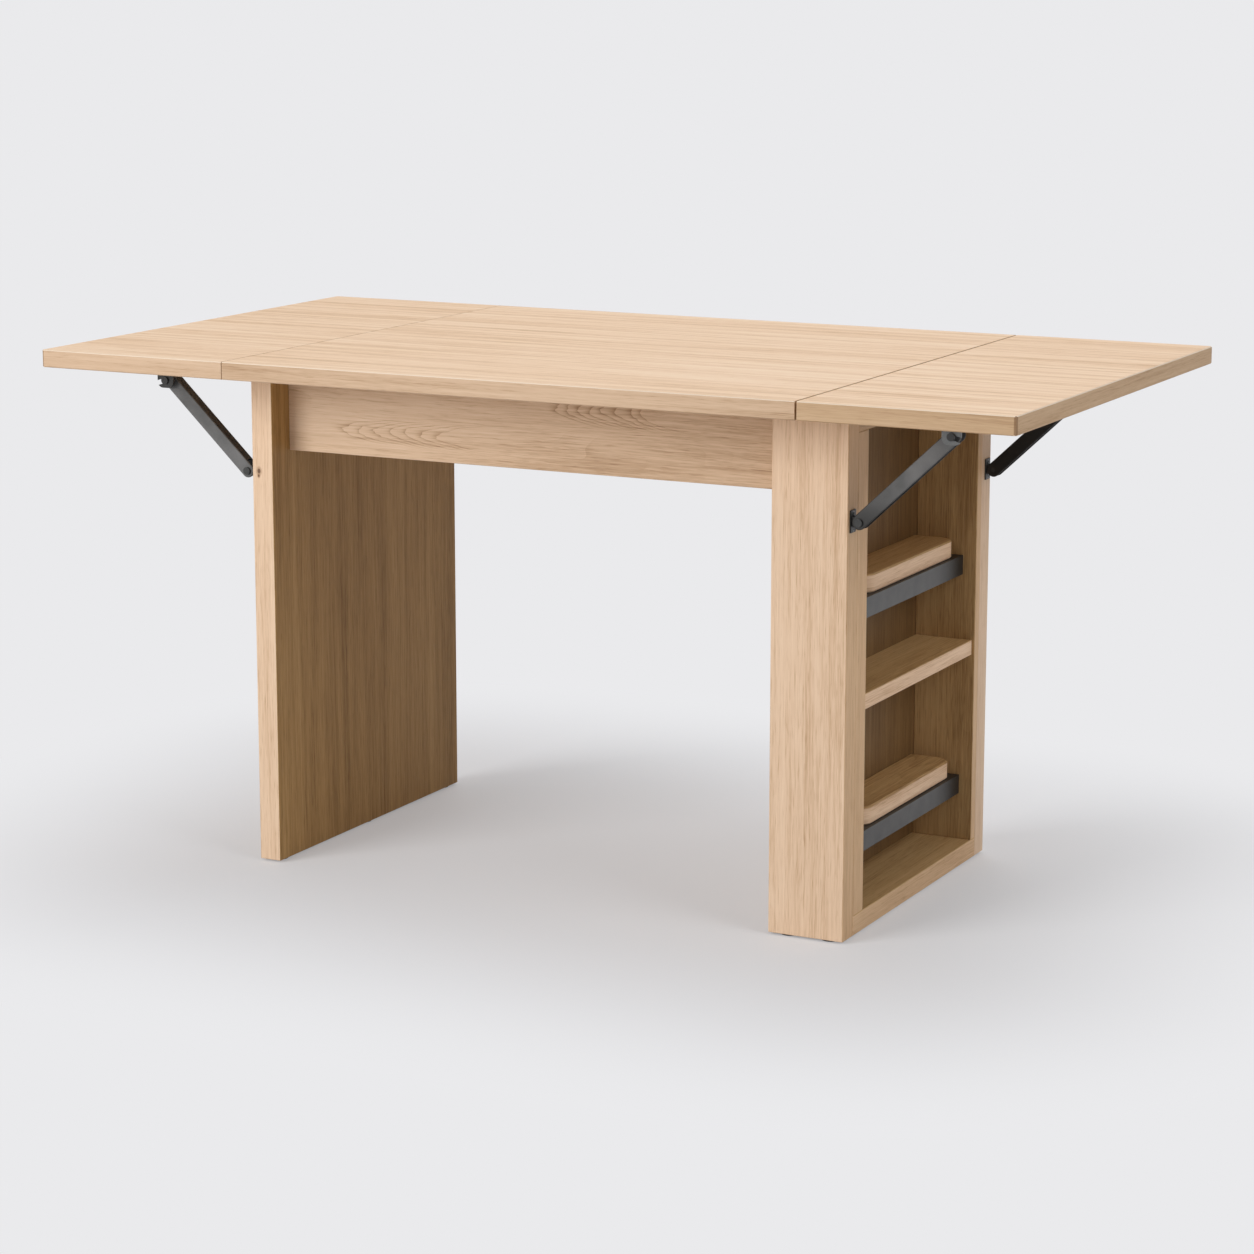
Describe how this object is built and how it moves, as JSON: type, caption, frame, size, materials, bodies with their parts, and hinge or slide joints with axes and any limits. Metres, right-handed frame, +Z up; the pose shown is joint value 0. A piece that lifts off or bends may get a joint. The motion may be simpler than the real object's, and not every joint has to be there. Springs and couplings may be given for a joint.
{
  "type": "drop-leaf island table",
  "caption": "Oak island table with a drop leaf at each end on hinges and folding steel struts, an end panel, two aprons and an open storage column with shelf and ledges",
  "frame": {"origin": "on the floor, under the middle of the top with both leaves up", "axes": "+X along the length towards the open side of the storage column, +Y to the rear, +Z up"},
  "size_m": [1.48, 0.8, 0.75],
  "materials": {
    "base_oak": "satin lacquer, grain along each board",
    "glide_plastic": "plain black",
    "hardware_steel": "black satin",
    "rail_steel": "dark grey satin",
    "strut_fittings": "black satin",
    "strut_steel": "grey satin sheet steel",
    "tenon_beech": "plain beech",
    "top_oak": "satin lacquer, straight streaked grain along the length"
  },
  "bodies": {
    "base": {"apron_tenons": "tenon_beech", "centre_top": "top_oak", "column_bottom_board": "base_oak", "column_front_board": "base_oak", "column_front_lining": "base_oak", "column_glides": "glide_plastic", "column_mid_shelf": "base_oak", "column_rear_board": "base_oak", "column_rear_lining": "base_oak", "column_side_panel": "base_oak", "column_top_board": "base_oak", "front_apron": "base_oak", "ledge_back_battens": "base_oak", "left_end_panel": "base_oak", "left_hinge_fixed_flaps": "hardware_steel", "left_hinge_pins": "hardware_steel", "left_strut_clevises": "strut_fittings", "left_strut_pivot_pins": "strut_fittings", "lower_ledge_board": "base_oak", "lower_ledge_rail": "rail_steel", "panel_glides": "glide_plastic", "rear_apron": "base_oak", "right_hinge_fixed_flaps": "hardware_steel", "right_hinge_pins": "hardware_steel", "right_strut_clevises": "strut_fittings", "right_strut_pivot_pins": "strut_fittings", "shelf_pins": "hardware_steel", "top_corner_brackets": "hardware_steel", "upper_ledge_board": "base_oak", "upper_ledge_rail": "rail_steel"},
    "left_leaf_body": {"left_leaf": "top_oak", "left_hinge_moving_flaps": "hardware_steel", "left_catch_plates": "strut_fittings"},
    "left_front_strut_body": {"left_front_strut": "strut_steel", "left_front_catch_pin": "strut_fittings"},
    "left_rear_strut_body": {"left_rear_strut": "strut_steel", "left_rear_catch_pin": "strut_fittings"},
    "right_leaf_body": {"right_leaf": "top_oak", "right_hinge_moving_flaps": "hardware_steel", "right_catch_plates": "strut_fittings"},
    "right_front_strut_body": {"right_front_strut": "strut_steel", "right_front_catch_pin": "strut_fittings"},
    "right_rear_strut_body": {"right_rear_strut": "strut_steel", "right_rear_catch_pin": "strut_fittings"}
  },
  "joints": [
    {"name": "left_leaf_drop", "type": "hinge", "parent": "base", "child": "left_leaf_body", "pos_m": [-0.47, -0.02, 0.705], "axis": [0, -1, 0], "range_deg": [0, 90]},
    {"name": "left_front_strut_fold", "type": "hinge", "parent": "base", "child": "left_front_strut_body", "pos_m": [-0.4765, -0.2655, 0.576], "axis": [0, -1, 0], "range_deg": [0, 133.33]},
    {"name": "left_rear_strut_fold", "type": "hinge", "parent": "base", "child": "left_rear_strut_body", "pos_m": [-0.4765, 0.2255, 0.576], "axis": [0, -1, 0], "range_deg": [0, 133.33]},
    {"name": "right_leaf_drop", "type": "hinge", "parent": "base", "child": "right_leaf_body", "pos_m": [0.47, -0.02, 0.705], "axis": [0, 1, 0], "range_deg": [0, 90]},
    {"name": "right_front_strut_fold", "type": "hinge", "parent": "base", "child": "right_front_strut_body", "pos_m": [0.4765, -0.2655, 0.576], "axis": [0, 1, 0], "range_deg": [0, 133.33]},
    {"name": "right_rear_strut_fold", "type": "hinge", "parent": "base", "child": "right_rear_strut_body", "pos_m": [0.4765, 0.2255, 0.576], "axis": [0, 1, 0], "range_deg": [0, 133.33]}
  ],
  "couplings": [
    {"joint": "left_front_strut_fold", "follows": "left_leaf_drop", "ratio": 1.4813},
    {"joint": "left_rear_strut_fold", "follows": "left_leaf_drop", "ratio": 1.4813},
    {"joint": "right_front_strut_fold", "follows": "right_leaf_drop", "ratio": 1.4813},
    {"joint": "right_rear_strut_fold", "follows": "right_leaf_drop", "ratio": 1.4813}
  ]
}
